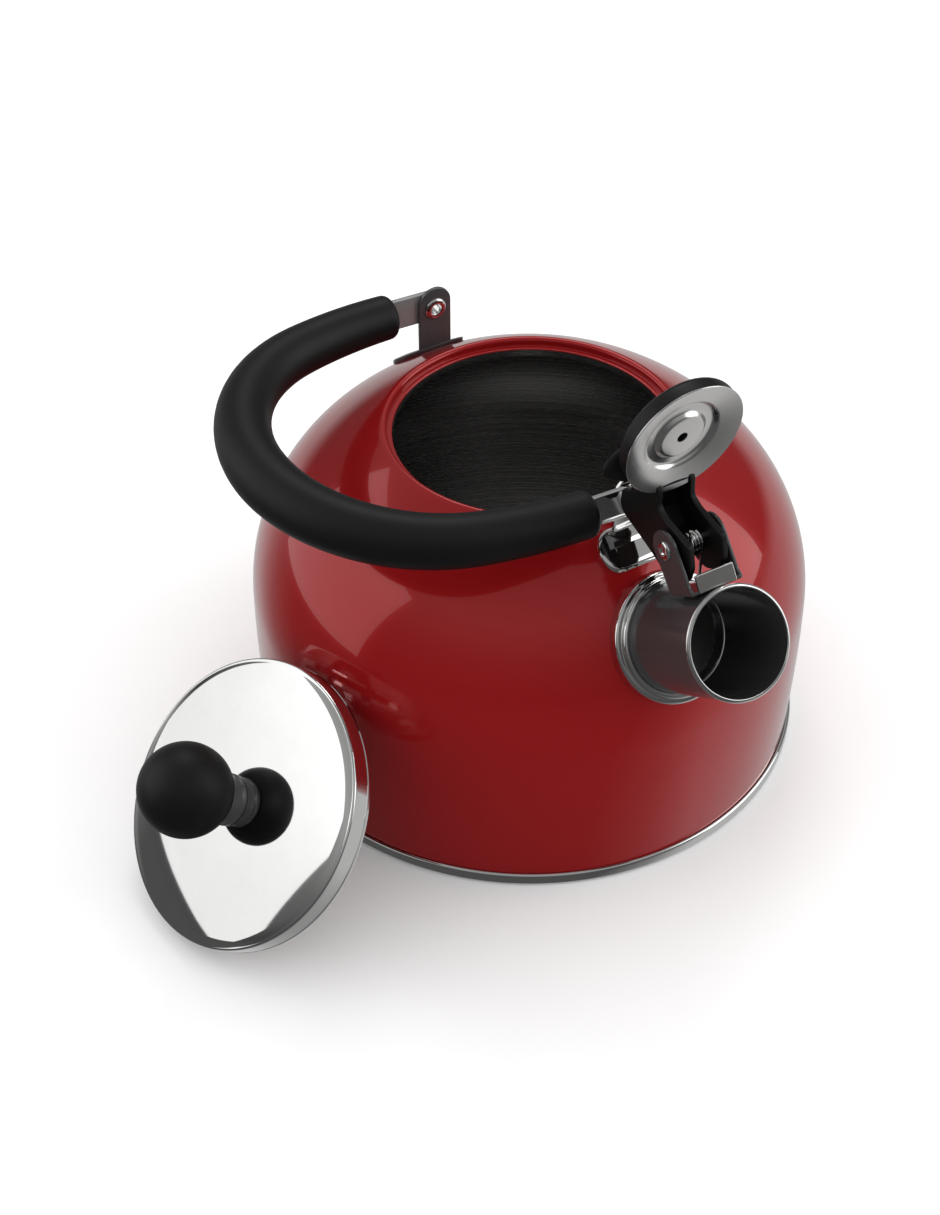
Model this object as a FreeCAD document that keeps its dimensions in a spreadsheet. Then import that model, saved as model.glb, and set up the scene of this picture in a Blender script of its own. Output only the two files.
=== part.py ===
"""Stovetop whistling kettle: an enamelled steel body with a folding bail handle, a short
steel spout with a flip-up whistle cap, and a loose domed lid that leans on the body.

Frame: millimetres, +Z up, origin on the resting plane under the centre of the body.
+X points along the spout. The handle folds down towards -Y."""
import FreeCAD, Part
import math
import os
import re

import Sketcher
from FreeCAD import Placement, Rotation, Vector

os.makedirs("parts", exist_ok=True)
doc = FreeCAD.newDocument("kettle")

# ------------------------------------------------------------------ driving dimensions
DIMENSIONS = {
    # body: a slightly barrelled wall, then a shoulder arc and a flatter crown arc
    "body_radius": 100.0,
    "body_foot_radius": 97.9,
    "body_foot_height": 2.2,
    "wall_top_height": 58.7,
    "barrel_height": 48.0,
    "shoulder_radius": 69.0,
    "shoulder_sweep": 46.7,
    "crown_radius": 110.85,
    "sheet": 1.0,
    # mouth: a stepped seat for the lid
    "mouth_radius": 50.3,
    "mouth_edge_roll": 1.6,
    "seat_depth": 3.0,
    "opening_radius": 48.4,
    "neck_depth": 3.0,
    # base pan with its rolled rim
    "rim_radius": 99.4,
    "rim_height": 5.0,
    "rim_gap": 0.3,
    "pan_foot_radius": 88.0,
    "pan_recess": 1.0,
    # spout, measured along its own axis from the mouth
    "spout_elevation": 34.2,
    "spout_mouth_reach": 124.1,
    "spout_mouth_height": 119.9,
    "spout_radius": 18.6,
    "spout_wall": 0.9,
    "spout_lip": 0.5,
    "spout_port_radius": 17.9,
    "flange_radius": 22.4,
    "flange_step_radius": 20.4,
    "flange_front": 38.0,
    "flange_step": 40.2,
    # spout bracket
    "bracket_sheet": 1.2,
    "ear_outside": 9.8,
    "ear_top_radius": 6.8,
    "bracket_front": 3.4,
    "bracket_back": 17.2,
    "stop_height": 6.3,
    "stop_half_width": 7.2,
    "stop_setback": 4.0,
    # whistle hinge
    "pin_setback": 12.6,
    "pin_rise": 33.95,
    "pin_radius": 1.5,
    "pin_head_radius": 3.3,
    "pin_clearance": 0.06,
    "open_angle": 136.0,
    "disc_overlap": 0.3,
    # whistle
    "disc_radius": 21.6,
    "disc_sheet": 0.5,
    "disc_boss_radius": 8.2,
    "disc_boss_rise": 1.6,
    "disc_groove_inner": 9.5,
    "disc_groove_outer": 12.5,
    "disc_groove_rise": 3.4,
    "disc_cone_radius": 13.7,
    "disc_cone_rise": 2.0,
    "inner_disc_radius": 12.6,
    "inner_disc_rise": 4.9,
    "sound_hole_radius": 1.9,
    "shell_radius": 21.3,
    "shell_depth": 7.0,
    "shell_back": 1.1,
    "shell_round": 3.4,
    "chamber_radius": 12.65,
    "seam": 0.1,
    "arm_half_width": 7.4,
    "arm_wall": 2.3,
    "arm_round": 12.2,
    "boss_radius": 4.6,
    "boss_half_span": 8.3,
    "paddle_half_width": 23.8,
    "paddle_half_height": 7.8,
    "paddle_half_thickness": 3.2,
    "paddle_drop": 11.0,
    "paddle_depth": 7.7,
    "spring_wire_radius": 0.55,
    "spring_coil_radius": 3.1,
    "spring_turns": 4,
    "spring_leg_down": 12.4,
    "spring_leg_up": 7.0,
    # bail handle, in its own plane: out from the pivots, then arcs that close the bow
    "handle_shift": -3.1,
    "pivot_height": 136.3,
    "fold_lift": 3.0,
    "handle_half_span": 65.7,
    "tongue_length": 16.7,
    "side_arc_radius": 160.0,
    "side_arc_sweep": 14.0,
    "corner_arc_radius": 59.0,
    "corner_arc_sweep": 33.4,
    "strap_thickness": 2.0,
    "strap_width": 12.0,
    "grip_end_radius": 8.0,
    "grip_middle_radius": 10.1,
    "grip_end_round": 2.6,
    # handle brackets and rivets
    "lug_sheet": 1.5,
    "lug_width": 13.0,
    "lug_top": 8.3,
    "lug_gap": 0.25,
    "lug_foot_length": 28.0,
    "lug_foot_width": 12.0,
    "rivet_radius": 2.9,
    "rivet_bore_radius": 2.1,
    "rivet_head_radius": 4.2,
    "rivet_head_height": 1.0,
    "rivet_clearance": 0.05,
    # lid, in its own frame: +Z out of the dome, from the plane of its lower edge
    "lid_radius": 49.8,
    "lid_band": 8.2,
    "lid_rise": 6.5,
    "lid_sheet": 0.8,
    "lid_edge_roll": 1.2,
    "lid_collar_radius": 46.4,
    "lid_collar_depth": 3.5,
    "knob_radius": 16.2,
    "knob_centre": 35.2,
    "stem_radius": 9.0,
    "screw_radius": 2.0,
    "screw_head_radius": 3.8,
    "screw_head_height": 2.4,
    "washer_radius": 6.5,
    "washer_sheet": 1.0,
    "lid_reach": 134.9,
    "lid_azimuth": 285.0,
    "lid_axis_azimuth": 276.0,
    "lid_tilt": 42.0,
}

sheet = doc.addObject("Spreadsheet::Sheet", "sizes")
for row, (alias, number) in enumerate(DIMENSIONS.items(), start=1):
    sheet.set(f"A{row}", alias)
    sheet.set(f"B{row}", str(number))
    sheet.setAlias(f"B{row}", alias)
doc.recompute()

ALIAS = re.compile(r"\b(" + "|".join(DIMENSIONS) + r")\b")


def linked(expression):
    """The expression with every dimension name pointing at its spreadsheet cell."""
    return ALIAS.sub(r"sizes.\1", str(expression))


def val(expression):
    """The number that an expression of dimension names gives."""
    result = sheet.evalExpression(linked(expression))
    return float(getattr(result, "Value", result))


def bind(item, prop, expression):
    """Tie a property of an object to the spreadsheet."""
    item.setExpression(prop, linked(expression))


# ------------------------------------------------------------------ building blocks
SUBPARTS = []


def subpart(item, label):
    """Name an object as one physical piece of the kettle."""
    item.Label = label
    SUBPARTS.append(item)
    return item


def new_sketch(body, role, name):
    """An empty sketch on one of the body's own origin planes."""
    plane = next(item for item in body.Origin.OriginFeatures if item.Role == role)
    sketch = body.newObject("Sketcher::SketchObject", name)
    sketch.AttachmentSupport = [(plane, "")]
    sketch.MapMode = "FlatFace"
    return sketch


def pin_point(sketch, edge, end, x_text, y_text):
    """Hold one end of an edge at a place that follows the spreadsheet."""
    for kind, text, axis in (("DistanceX", x_text, -2), ("DistanceY", y_text, -1)):
        if val(text) == 0:
            sketch.addConstraint(Sketcher.Constraint("PointOnObject", edge, end, axis))
            continue
        place = Sketcher.Constraint(kind, -1, 1, edge, end, val(text))
        index = sketch.addConstraint(place)
        name = f"{kind}{edge}"
        sketch.renameConstraint(index, name)
        bind(sketch, f".Constraints.{name}", text)


def draw_outline(sketch, corners):
    """Closed outline. A corner is (x, y), or (x, y, radius) when the edge that leaves it
    is an arc: a positive radius turns left, a negative one turns right."""
    first = sketch.GeometryCount
    points = [Vector(val(corner[0]), val(corner[1]), 0) for corner in corners]
    starts = []
    for index, corner in enumerate(corners):
        here, there = points[index], points[(index + 1) % len(points)]
        if len(corner) == 2:
            sketch.addGeometry(Part.LineSegment(here, there), False)
            starts.append(1)
            continue
        radius = val(corner[2])
        chord = there - here
        left = Vector(-chord.y, chord.x, 0).normalize()
        sagitta = math.sqrt(max(radius ** 2 - chord.Length ** 2 / 4, 0))
        centre = (here + there) / 2 + left * math.copysign(sagitta, radius)
        low, high = (here, there) if radius > 0 else (there, here)
        circle = Part.Circle(centre, Vector(0, 0, 1), abs(radius))
        angles = [math.atan2(p.y - centre.y, p.x - centre.x) for p in (low, high)]
        edge = sketch.addGeometry(Part.ArcOfCircle(circle, *angles), False)
        starts.append(1 if radius > 0 else 2)
        if sagitta < 0.001:
            # A half circle: its ends lie opposite each other about its centre.
            sketch.addConstraint(Sketcher.Constraint("Symmetric", edge, 1, edge, 2, edge, 3))
            continue
        index_radius = sketch.addConstraint(Sketcher.Constraint("Radius", edge, abs(radius)))
        sketch.renameConstraint(index_radius, f"Radius{edge}")
        bind(sketch, f".Constraints.Radius{edge}", f"abs({corner[2]})")
    for index, corner in enumerate(corners):
        edge = first + index
        after = first + (index + 1) % len(corners)
        end, start = 3 - starts[index], starts[(index + 1) % len(corners)]
        sketch.addConstraint(Sketcher.Constraint("Coincident", edge, end, after, start))
        pin_point(sketch, edge, starts[index], corner[0], corner[1])


def draw_circle(sketch, x_text, y_text, radius_text):
    """Circle whose centre and radius follow the spreadsheet."""
    centre = Vector(val(x_text), val(y_text), 0)
    circle = Part.Circle(centre, Vector(0, 0, 1), val(radius_text))
    edge = sketch.addGeometry(circle, False)
    index = sketch.addConstraint(Sketcher.Constraint("Radius", edge, val(radius_text)))
    sketch.renameConstraint(index, f"Radius{edge}")
    bind(sketch, f".Constraints.Radius{edge}", radius_text)
    pin_point(sketch, edge, 3, x_text, y_text)


def revolved(name, corners, placement=Placement()):
    """Body turned about its own Z axis from an outline of (radius, height) corners."""
    body = doc.addObject("PartDesign::Body", name)
    sketch = new_sketch(body, "XZ_Plane", name + "_section")
    draw_outline(sketch, corners)
    turn = body.newObject("PartDesign::Revolution", name + "_turn")
    turn.Profile = sketch
    turn.ReferenceAxis = (sketch, ["V_Axis"])
    turn.Angle = 360
    body.Placement = placement
    return body


def padded(name, role, corners, thickness, circles=(), placement=Placement(), middle=False):
    """Body pressed up from an outline, with round holes, to a thickness."""
    body = doc.addObject("PartDesign::Body", name)
    sketch = new_sketch(body, role, name + "_outline")
    draw_outline(sketch, corners)
    for circle in circles:
        draw_circle(sketch, *circle)
    pad = body.newObject("PartDesign::Pad", name + "_pad")
    pad.Profile = sketch
    bind(pad, "Length", thickness)
    pad.Midplane = middle
    body.Placement = placement
    return body


def cylinder(name, radius, height, placement=Placement()):
    """Plain round bar along its own Z axis."""
    item = doc.addObject("Part::Cylinder", name)
    bind(item, "Radius", radius)
    bind(item, "Height", height)
    item.Placement = placement
    return item


def block(name, length, width, height, placement=Placement()):
    """Plain box from its own corner."""
    item = doc.addObject("Part::Box", name)
    bind(item, "Length", length)
    bind(item, "Width", width)
    bind(item, "Height", height)
    item.Placement = placement
    return item


def cut(name, base, tool):
    """The base with the tool taken away."""
    item = doc.addObject("Part::Cut", name)
    item.Base = base
    item.Tool = tool
    return item


def common(name, base, tool):
    """What the two shapes share."""
    item = doc.addObject("Part::Common", name)
    item.Base = base
    item.Tool = tool
    return item


def fused(name, *shapes):
    """The shapes joined into one."""
    item = doc.addObject("Part::MultiFuse", name)
    item.Shapes = list(shapes)
    item.Refine = True
    return item


# ------------------------------------------------------------------ dome geometry
# Radius and height at the end of each arc, as expressions.
SHOULDER_X = "(body_radius - shoulder_radius + shoulder_radius * cos(shoulder_sweep))"
SHOULDER_Y = "(wall_top_height + shoulder_radius * sin(shoulder_sweep))"
CROWN_X = (
    "(body_radius - shoulder_radius + (shoulder_radius - crown_radius) * cos(shoulder_sweep))"
)
CROWN_Y = "(wall_top_height + (shoulder_radius - crown_radius) * sin(shoulder_sweep))"


def crown_height(radius_text, inset="0"):
    """Height of the crown arc, or of one inset below it, at a radius from the axis."""
    return f"({CROWN_Y} + sqrt((crown_radius - {inset})^2 - ({radius_text} - {CROWN_X})^2))"


def shoulder_x(inset):
    """Radius where the shoulder arc, inset by a distance, meets the crown arc."""
    return (
        "(body_radius - shoulder_radius"
        f" + (shoulder_radius - {inset}) * cos(shoulder_sweep))"
    )


def shoulder_y(inset):
    """Height where the shoulder arc, inset by a distance, meets the crown arc."""
    return f"(wall_top_height + (shoulder_radius - {inset}) * sin(shoulder_sweep))"


BARREL_RADIUS = (
    "(((barrel_height - body_foot_height)^2 + (body_radius - body_foot_radius)^2)"
    " / (2 * (body_radius - body_foot_radius)))"
)
EDGE_X = "(mouth_radius + mouth_edge_roll)"
SEAT_Y = f"({crown_height(EDGE_X)} - seat_depth)"


def dome_layer(name, outside, inside):
    """Layer over the whole dome between two offsets from its outer surface."""
    return revolved(
        name,
        [
            (f"body_radius + {inside}", "wall_top_height"),
            (f"body_radius + {outside}", "wall_top_height", f"shoulder_radius + {outside}"),
            (shoulder_x(f"(-{outside})"), shoulder_y(f"(-{outside})"), f"crown_radius + {outside}"),
            ("mouth_radius", crown_height("mouth_radius", f"(-{outside})")),
            (
                "mouth_radius",
                crown_height("mouth_radius", f"(-{inside})"),
                f"-(crown_radius + {inside})",
            ),
            (shoulder_x(f"(-{inside})"), shoulder_y(f"(-{inside})"), f"-(shoulder_radius + {inside})"),
        ],
    )


# ------------------------------------------------------------------ frames of the assemblies
ELEVATION = val("spout_elevation")
TILT_SPOUT = Rotation(Vector(0, 1, 0), 90 - ELEVATION)
MOUTH = Vector(val("spout_mouth_reach"), 0, val("spout_mouth_height"))
# Spout frame: +Z out of the spout, -X towards the top of the spout.
SPOUT = Placement(MOUTH, TILT_SPOUT)
PIN = SPOUT.multVec(Vector(-val("pin_rise"), 0, -val("pin_setback")))
# Whistle frame: the spout frame swung open about the hinge pin.
OPENING = Rotation(Vector(0, 1, 0), -val("open_angle"))
WHISTLE = Placement(PIN, OPENING) * Placement(-PIN, Rotation()) * SPOUT
# Handle frame: +X along the pivots, +Y out along the folded handle.
FOLD = Rotation(Vector(0, 0, 1), 180)
LIFT = Rotation(Vector(1, 0, 0), -val("fold_lift"))
HANDLE = Placement(Vector(val("handle_shift"), 0, val("pivot_height")), LIFT * FOLD)
# Lid frame: +Z along the knob, origin at the centre of the lid's lower edge.
LID_AXIS = Rotation(Vector(0, 0, 1), val("lid_axis_azimuth")) * Rotation(
    Vector(0, 1, 0), 90 - val("lid_tilt")
)
LID_PLACE = Vector(
    val("lid_reach * cos(lid_azimuth)"),
    val("lid_reach * sin(lid_azimuth)"),
    val("lid_radius * cos(lid_tilt)"),
)
LID = Placement(LID_PLACE, LID_AXIS)


def in_spout(x_mm, z_mm, y_mm=0.0):
    """Placement in the spout frame, moved but not turned."""
    return SPOUT * Placement(Vector(x_mm, y_mm, z_mm), Rotation())


# ------------------------------------------------------------------ body
def make_body_shell():
    """Enamelled steel body with the lid seat at the mouth and the spout port."""
    inner_edge = "(mouth_radius + sheet + 0.9)"
    skin = revolved(
        "body_skin",
        [
            ("body_foot_radius", "body_foot_height", BARREL_RADIUS),
            ("body_radius", "barrel_height"),
            ("body_radius", "wall_top_height", "shoulder_radius"),
            (SHOULDER_X, SHOULDER_Y, "crown_radius"),
            (EDGE_X, crown_height(EDGE_X), "mouth_edge_roll * 1.25"),
            ("mouth_radius", f"{SEAT_Y} + seat_depth - mouth_edge_roll * 0.75"),
            ("mouth_radius", SEAT_Y),
            ("opening_radius", SEAT_Y),
            ("opening_radius", f"{SEAT_Y} - neck_depth"),
            ("opening_radius + sheet", f"{SEAT_Y} - neck_depth"),
            ("opening_radius + sheet", f"{SEAT_Y} - sheet"),
            ("mouth_radius + sheet", f"{SEAT_Y} - sheet"),
            ("mouth_radius + sheet", f"{crown_height(inner_edge, 'sheet')} - 0.8"),
            (inner_edge, crown_height(inner_edge, "sheet"), "-(crown_radius - sheet)"),
            (shoulder_x("sheet"), shoulder_y("sheet"), "-(shoulder_radius - sheet)"),
            ("body_radius - sheet", "wall_top_height"),
            ("body_radius - sheet", "barrel_height", f"-({BARREL_RADIUS} - sheet)"),
            ("body_foot_radius - sheet", "body_foot_height"),
        ],
    )
    port = cylinder("spout_port", "spout_port_radius", "60", in_spout(0, -70))
    subpart(cut("body_shell_cut", skin, port), "body_shell")


def make_base_pan():
    """Chromed base pan, its rim turned up around the foot of the body."""
    lip = "(body_foot_radius + rim_gap)"
    pan = revolved(
        "base_pan_turned",
        [
            ("0", "pan_recess"),
            ("pan_foot_radius - 2", "pan_recess"),
            ("pan_foot_radius", "0"),
            ("rim_radius - 1.6", "0", "1.6"),
            ("rim_radius", "1.6"),
            ("rim_radius", "rim_height - 1", "1.1"),
            (lip, "rim_height"),
            (lip, "sheet + 0.6"),
            ("pan_foot_radius", "sheet + 0.6"),
            ("pan_foot_radius - 2", "pan_recess + sheet"),
            ("0", "pan_recess + sheet"),
        ],
    )
    subpart(pan, "base_pan")


# ------------------------------------------------------------------ spout
def make_spout(dome):
    """Spout tube and the stepped flange that joins it to the body."""
    bore = "(spout_radius - spout_wall)"
    tube = revolved(
        "spout_tube_turned",
        [
            (bore, "-60"),
            ("spout_radius", "-60"),
            ("spout_radius", "-1.6"),
            ("spout_radius + spout_lip", "-1.0"),
            ("spout_radius + spout_lip", "-0.4"),
            ("spout_radius", "0"),
            (bore, "0"),
        ],
        SPOUT,
    )
    subpart(cut("spout_tube_cut", tube, dome), "spout_tube")
    flange = revolved(
        "spout_flange_turned",
        [
            ("spout_radius + 0.02", "-60"),
            ("flange_radius", "-60"),
            ("flange_radius", "-(flange_step + 0.8)", "0.8"),
            ("flange_radius - 0.8", "-flange_step"),
            ("flange_step_radius", "-flange_step"),
            ("flange_step_radius", "-(flange_front + 0.6)", "0.6"),
            ("flange_step_radius - 0.6", "-flange_front"),
            ("spout_radius + 0.02", "-flange_front"),
        ],
        SPOUT,
    )
    subpart(cut("spout_flange_cut", flange, dome), "spout_flange")


def make_spout_bracket():
    """Steel bracket on the spout: a foot plate, two ears for the pin, a front stop."""
    top = "spout_radius"
    ear_side = [
        (f"-{top}", "-bracket_front"),
        (f"-({top} + 3)", "-(bracket_front + 1.2)"),
        ("-pin_rise", "-(pin_setback - ear_top_radius)", "ear_top_radius"),
        ("-pin_rise", "-(pin_setback + ear_top_radius)"),
        (f"-{top}", "-bracket_back"),
    ]
    ears = []
    for side, place in (("near", -1), ("far", 1)):
        edge = place * val("ear_outside") - (val("bracket_sheet") if place > 0 else 0)
        ear = padded(
            f"ear_{side}",
            "XZ_Plane",
            ear_side,
            "bracket_sheet",
            [("-pin_rise", "-pin_setback", "pin_radius + pin_clearance")],
            SPOUT * Placement(Vector(0, edge + val("bracket_sheet"), 0), Rotation()),
        )
        ears.append(ear)
    plate_start = in_spout(
        -val("spout_radius + bracket_sheet"), -val("bracket_back"), -val("ear_outside")
    )
    foot = block(
        "bracket_foot", "bracket_sheet", "2 * ear_outside", "bracket_back - bracket_front", plate_start
    )
    stop_start = in_spout(
        -val("spout_radius + stop_height"), -val("stop_setback"), -val("stop_half_width")
    )
    stop = block("bracket_stop", "stop_height", "2 * stop_half_width", "bracket_sheet", stop_start)
    subpart(fused("spout_bracket_joined", *ears, foot, stop), "spout_bracket")


# ------------------------------------------------------------------ whistle
def make_hinge_pin():
    """Headed pin through both ears and the whistle arm."""
    half = "(ear_outside + 0.9)"
    pin = revolved(
        "whistle_pin_turned",
        [
            ("0", f"-{half}"),
            ("pin_head_radius - 0.6", f"-{half}"),
            ("pin_head_radius", f"-{half} + 0.6"),
            ("pin_head_radius", "-(ear_outside + 0.02)"),
            ("pin_radius", "-(ear_outside + 0.02)"),
            ("pin_radius", "ear_outside + 0.02"),
            ("pin_head_radius", "ear_outside + 0.02"),
            ("pin_head_radius", f"{half} - 0.6"),
            ("pin_head_radius - 0.6", half),
            ("0", half),
        ],
        Placement(PIN, Rotation(Vector(1, 0, 0), 90)),
    )
    subpart(pin, "whistle_hinge_pin")


def make_whistle_spring():
    """Torsion spring around the middle of the pin, one leg on the bracket's foot plate."""
    wire, coil = val("spring_wire_radius"), val("spring_coil_radius")
    pitch = 2.2 * wire
    length = pitch * val("spring_turns")
    helix = Part.makeHelix(pitch, length, coil)
    ring = Part.Wire(Part.makeCircle(wire, Vector(coil, 0, 0), Vector(0, 1, 0)))
    coils = Part.Wire(helix).makePipeShell([ring], True, True)
    down, up = Vector(0, -1, 0), Vector(0, 1, 0)
    leg_down = Part.makeCylinder(wire, val("spring_leg_down"), Vector(coil, 0, 0), down)
    leg_up = Part.makeCylinder(wire, val("spring_leg_up"), Vector(coil, 0, length), up)
    spring = doc.addObject("Part::Feature", "whistle_spring_bent")
    spring.Shape = coils.fuse([leg_down, leg_up]).removeSplitter()
    along_pin = Rotation(Vector(0, 0, 1), Vector(0, -1, 0))
    spring.Placement = Placement(PIN + Vector(0, length / 2, 0), along_pin)
    subpart(spring, "whistle_spring")


def disc_line(lift):
    """Half section of the outer disc, from its sound hole to its rim, lifted off its front."""
    front = f"({lift} - disc_overlap)"
    return [
        ("sound_hole_radius", f"{front} + disc_boss_rise"),
        ("disc_boss_radius", f"{front} + disc_boss_rise"),
        ("disc_groove_inner", f"{front} + disc_groove_rise"),
        ("disc_groove_outer", f"{front} + disc_groove_rise"),
        ("disc_cone_radius", f"{front} + disc_cone_rise"),
        ("disc_radius", front),
    ]


def make_whistle_discs():
    """Dished outer disc and the flat inner disc: the pair of holes makes the whistle."""
    outline = disc_line("0") + disc_line("disc_sheet")[::-1]
    subpart(revolved("whistle_disc_pressed", outline, WHISTLE), "whistle_disc")
    front, back = "(inner_disc_rise - disc_overlap)", "(inner_disc_rise - disc_overlap + disc_sheet)"
    inner = revolved(
        "whistle_inner_pressed",
        [
            ("sound_hole_radius", front),
            ("inner_disc_radius", front),
            ("inner_disc_radius", back),
            ("sound_hole_radius", back),
        ],
        WHISTLE,
    )
    subpart(inner, "whistle_inner_disc")


def make_cap_shell():
    """Round black shell behind the discs, open at its front, with the whistle's outlet."""
    back = "(shell_depth - disc_overlap)"
    behind_disc = "(disc_sheet - disc_overlap + seam)"
    return revolved(
        "whistle_shell",
        [
            ("sound_hole_radius + 1", back),
            ("sound_hole_radius + 1", f"{back} - shell_back"),
            ("chamber_radius", f"{back} - shell_back"),
            ("chamber_radius", f"{behind_disc} + disc_groove_rise"),
            ("disc_cone_radius + 0.1", f"{behind_disc} + disc_cone_rise"),
            ("shell_radius", behind_disc),
            ("shell_radius", f"{back} - shell_round", "shell_round"),
            ("shell_radius - shell_round", back),
        ],
        WHISTLE,
    )


# Side view of the whistle's arm with the cap open, as places measured from the pin.
ARM_SIDE = [
    ("arm_round * cos(318)", "arm_round * sin(318)"),
    ("9.0", "6.2"),
    ("-4.9", "8.2"),
    ("-8.8", "10.2"),
    ("-9.0", "17.0"),
    ("-13.2", "20.6"),
    ("-21.0", "18.2"),
    ("-23.2", "12.6"),
    ("-23.6", "7.4"),
    ("-28.6", "4.8"),
    ("-29.4", "-1.6"),
    ("-27.0", "-4.4"),
    ("-12.0", "-8.6"),
    ("arm_round * cos(250)", "arm_round * sin(250)", "arm_round"),
]
# The front of the arm is hollow between its walls; a web stays along its back.
ARM_HOLLOW = [
    ("20", "-14"),
    ("20", "16.5"),
    ("-8.6", "16.5"),
    ("-15.0", "13.0"),
    ("-15.6", "3.0"),
    ("-9.8", "-1.5"),
    ("-7.6", "-6.0"),
    ("-2.6", "-9.4"),
    ("-2.6", "-14"),
]
# The tail of the arm is two ears with the handle's rivet between them.
ARM_TAIL = [
    ("-34", "-10"),
    ("-22.6", "-10"),
    ("-22.6", "7.0"),
    ("-34", "7.0"),
]


def make_whistle_lever():
    """Moulded black cap with its arm, side walls, pin bosses and thumb paddle."""
    at_pin = Placement(PIN, Rotation())
    between = "2 * (arm_half_width - arm_wall)"
    solid_arm = padded("arm_block", "XZ_Plane", ARM_SIDE, "2 * arm_half_width", (), at_pin, True)
    hollow = padded("arm_hollow", "XZ_Plane", ARM_HOLLOW, between, (), at_pin, True)
    tail = padded("arm_tail_gap", "XZ_Plane", ARM_TAIL, between, (), at_pin, True)
    hollowed = cut("arm_hollowed", solid_arm, fused("arm_gaps", hollow, tail))
    across = Rotation(Vector(1, 0, 0), 90)
    inside = "(arm_half_width - arm_wall)"
    bosses = []
    for side, start in (("near", f"-{inside}"), ("far", "boss_half_span")):
        place = Placement(PIN + Vector(0, val(start), 0), across)
        length = f"boss_half_span - {inside}"
        bosses.append(cylinder(f"pin_boss_{side}", "boss_radius", length, place))
    paddle = doc.addObject("Part::Ellipsoid", "thumb_paddle")
    for prop, radius in (("Radius1", "thickness"), ("Radius2", "height"), ("Radius3", "width")):
        bind(paddle, prop, f"paddle_half_{radius}")
    paddle_place = Vector(-val("paddle_drop"), 0, val("paddle_depth"))
    paddle.Placement = WHISTLE * Placement(paddle_place, Rotation())
    arm = fused("lever_joined", hollowed, paddle, *bosses)
    # What stands inside the cap is trimmed to the back of its shell.
    clear_depth = "(shell_depth - 0.4)"
    chamber_place = WHISTLE * Placement(Vector(0, 0, val(clear_depth) - 10), Rotation())
    chamber = cylinder("whistle_chamber", "shell_radius + 4", "10", chamber_place)
    lever = fused("lever_with_shell", cut("lever_trimmed", arm, chamber), make_cap_shell())
    bore_place = Placement(PIN + Vector(0, 20, 0), across)
    bore = cylinder("pin_bore", "pin_radius + pin_clearance", "40", bore_place)
    subpart(cut("whistle_lever_bored", lever, bore), "whistle_lever")


# ------------------------------------------------------------------ handle
def handle_points():
    """Centre line of the handle in its own plane: corner points and arc middles."""
    span = val("handle_half_span")
    place = Vector(span, val("tongue_length"), 0)
    heading = 0.0
    line = [place]
    sweeps = [
        (val("side_arc_radius"), val("side_arc_sweep")),
        (val("corner_arc_radius"), val("corner_arc_sweep")),
    ]
    for radius, sweep in sweeps:
        centre = place - Vector(math.cos(heading), math.sin(heading), 0) * radius
        for share in (0.5, 1.0):
            angle = heading + math.radians(sweep) * share
            line.append(centre + Vector(math.cos(angle), math.sin(angle), 0) * radius)
        heading += math.radians(sweep)
        place = line[-1]
    bow_radius = place.x / math.cos(heading)
    centre = Vector(0, place.y - bow_radius * math.sin(heading), 0)
    line.append(centre + Vector(0, bow_radius, 0))
    return line


def mirrored(point):
    """The same place on the other side of the handle."""
    return Vector(-point.x, point.y, 0)


def handle_wire(offset):
    """The handle's arcs from one end of the grip to the other, moved in or out."""
    start, mid_side, end_side, mid_corner, end_corner, bow = handle_points()
    right = Part.Arc(start, mid_side, end_side).toShape()
    corner = Part.Arc(end_side, mid_corner, end_corner).toShape()
    top = Part.Arc(end_corner, bow, mirrored(end_corner)).toShape()
    corner_left = Part.Arc(mirrored(end_corner), mirrored(mid_corner), mirrored(end_side))
    left = Part.Arc(mirrored(end_side), mirrored(mid_side), mirrored(start)).toShape()
    arcs = [right, corner, top, corner_left.toShape(), left]
    moved = []
    for arc in arcs:
        centre = arc.Curve.Center
        points = [arc.valueAt(arc.FirstParameter + share * (arc.LastParameter - arc.FirstParameter))
                  for share in (0, 0.5, 1)]
        points = [p + (p - centre).normalize() * offset for p in points]
        moved.append(Part.Arc(*points).toShape())
    return moved


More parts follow.
